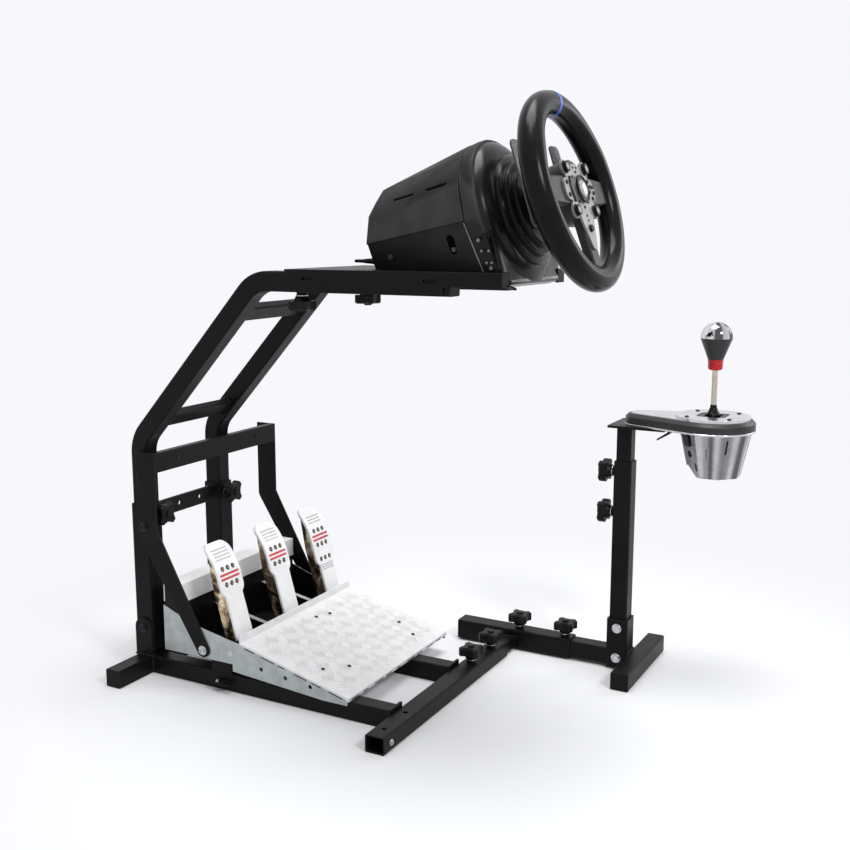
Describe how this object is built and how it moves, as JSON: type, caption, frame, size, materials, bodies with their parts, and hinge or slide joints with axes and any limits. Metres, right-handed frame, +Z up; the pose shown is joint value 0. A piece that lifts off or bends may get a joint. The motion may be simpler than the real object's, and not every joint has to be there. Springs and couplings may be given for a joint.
{
  "type": "racing wheel stand",
  "caption": "Floor-standing tubular steel frame that carries a racing wheel, a sprung pedal set and a gear shifter on sliding, clamped tubes.",
  "frame": {"origin": "on the floor under the middle of the rear foot tube", "axes": "+X to the driver's right, +Y away from the driver, +Z up"},
  "size_m": [0.575, 0.9115, 0.9144],
  "materials": {
    "black_steel": "satin powder coat",
    "black_plastic": "fine grain",
    "grip_rubber": "smooth satin",
    "dark_metal": "satin",
    "pedal_steel": "zinc plated",
    "tread_aluminium": "bright tread",
    "bright_steel": "plated",
    "polished_metal": "polished",
    "white_metal": "satin"
  },
  "bodies": {
    "base": {"rear_foot": "black_steel", "left_rail": "black_steel", "right_rail": "black_steel", "cross_tube": "black_steel", "left_upright_bracket": "black_steel", "right_upright_bracket": "black_steel", "left_upright_sleeve": "black_steel", "right_upright_sleeve": "black_steel", "brace_plate": "black_steel", "left_upright_knob": "black_plastic", "right_upright_knob": "black_plastic", "inner_cross_knob": "black_plastic", "outer_cross_knob": "black_plastic", "pedal_tray": "pedal_steel", "pedal_rear_cover": "black_plastic", "pedal_cover_hood": "white_metal", "heel_plate": "tread_aluminium", "pedal_shaft": "bright_steel", "pedal_bracket": "black_steel"},
    "upper_frame": {"left_bent_tube": "black_steel", "right_bent_tube": "black_steel", "lower_rung": "black_steel", "upper_rung": "black_steel", "left_tray_knob": "black_plastic", "right_tray_knob": "black_plastic"},
    "wheel_unit": {"wheel_tray": "black_steel", "wheel_base": "black_plastic", "base_collar": "black_plastic", "base_bezel": "black_plastic", "lead_plug": "black_plastic"},
    "steering_wheel": {"steering_column": "black_plastic", "wheel_spokes": "dark_metal", "hub_plate": "dark_metal", "wheel_rim": "grip_rubber"},
    "left_paddle": {"left_paddle": "dark_metal"},
    "right_paddle": {"right_paddle": "dark_metal"},
    "clutch_pedal": {"clutch_pedal_arm": "polished_metal", "clutch_pedal_face": "white_metal"},
    "brake_pedal": {"brake_pedal_arm": "polished_metal", "brake_pedal_face": "white_metal"},
    "throttle_pedal": {"throttle_pedal_arm": "polished_metal", "throttle_pedal_face": "white_metal"},
    "cross_slide": {"cross_slide": "black_steel", "rear_arm_knob": "black_plastic", "front_arm_knob": "black_plastic"},
    "shifter_arm": {"shifter_arm": "black_steel", "shifter_foot": "black_steel", "post_sleeve": "black_steel", "lower_post_knob": "black_plastic", "upper_post_knob": "black_plastic"},
    "shifter_head": {"shifter_post": "black_steel", "shifter_deck": "black_plastic", "shifter_gate": "polished_metal", "shifter_housing": "polished_metal"},
    "lever_gimbal": {"lever_gimbal": "dark_metal"},
    "gear_lever": {"gear_lever": "bright_steel", "lever_knob": "polished_metal"}
  },
  "joints": [
    {"name": "frame_height", "type": "slide", "parent": "base", "child": "upper_frame", "axis": [0, 0, 1], "range_m": [-0.02, 0.1]},
    {"name": "tray_reach", "type": "slide", "parent": "upper_frame", "child": "wheel_unit", "axis": [0, -1, 0], "range_m": [-0.01, 0.01]},
    {"name": "steering", "type": "hinge", "parent": "wheel_unit", "child": "steering_wheel", "pos_m": [0, -0.613, 0.752], "axis": [0, -0.9511, 0.309], "range_deg": [-540, 540]},
    {"name": "left_paddle_pull", "type": "hinge", "parent": "steering_wheel", "child": "left_paddle", "pos_m": [-0.046, -0.66626, 0.76931], "axis": [0, 0.309, 0.9511], "range_deg": [0, 5], "stiffness_Nm_per_rad": 3, "springref_deg": -5.73},
    {"name": "right_paddle_pull", "type": "hinge", "parent": "steering_wheel", "child": "right_paddle", "pos_m": [0.046, -0.66626, 0.76931], "axis": [0, -0.309, -0.9511], "range_deg": [0, 5], "stiffness_Nm_per_rad": 3, "springref_deg": -5.73},
    {"name": "clutch_press", "type": "hinge", "parent": "base", "child": "clutch_pedal", "pos_m": [-0.082, -0.18, 0.066], "axis": [-1, 0, 0], "range_deg": [0, 16], "stiffness_Nm_per_rad": 14, "springref_deg": -8.59},
    {"name": "brake_press", "type": "hinge", "parent": "base", "child": "brake_pedal", "pos_m": [0.048, -0.18, 0.066], "axis": [-1, 0, 0], "range_deg": [0, 16], "stiffness_Nm_per_rad": 30, "springref_deg": -8.59},
    {"name": "throttle_press", "type": "hinge", "parent": "base", "child": "throttle_pedal", "pos_m": [0.178, -0.18, 0.066], "axis": [-1, 0, 0], "range_deg": [0, 16], "stiffness_Nm_per_rad": 10, "springref_deg": -8.59},
    {"name": "cross_reach", "type": "slide", "parent": "base", "child": "cross_slide", "axis": [1, 0, 0], "range_m": [-0.03, 0.08]},
    {"name": "arm_reach", "type": "slide", "parent": "cross_slide", "child": "shifter_arm", "axis": [0, -1, 0], "range_m": [-0.05, 0.1]},
    {"name": "post_height", "type": "slide", "parent": "shifter_arm", "child": "shifter_head", "axis": [0, 0, 1], "range_m": [-0.05, 0.1]},
    {"name": "lever_side", "type": "hinge", "parent": "shifter_head", "child": "lever_gimbal", "pos_m": [0.304, -0.828, 0.385], "axis": [0, 1, 0], "range_deg": [-6, 6], "stiffness_Nm_per_rad": 6},
    {"name": "lever_throw", "type": "hinge", "parent": "lever_gimbal", "child": "gear_lever", "pos_m": [0.304, -0.828, 0.398], "axis": [1, 0, 0], "range_deg": [-9, 9]}
  ]
}
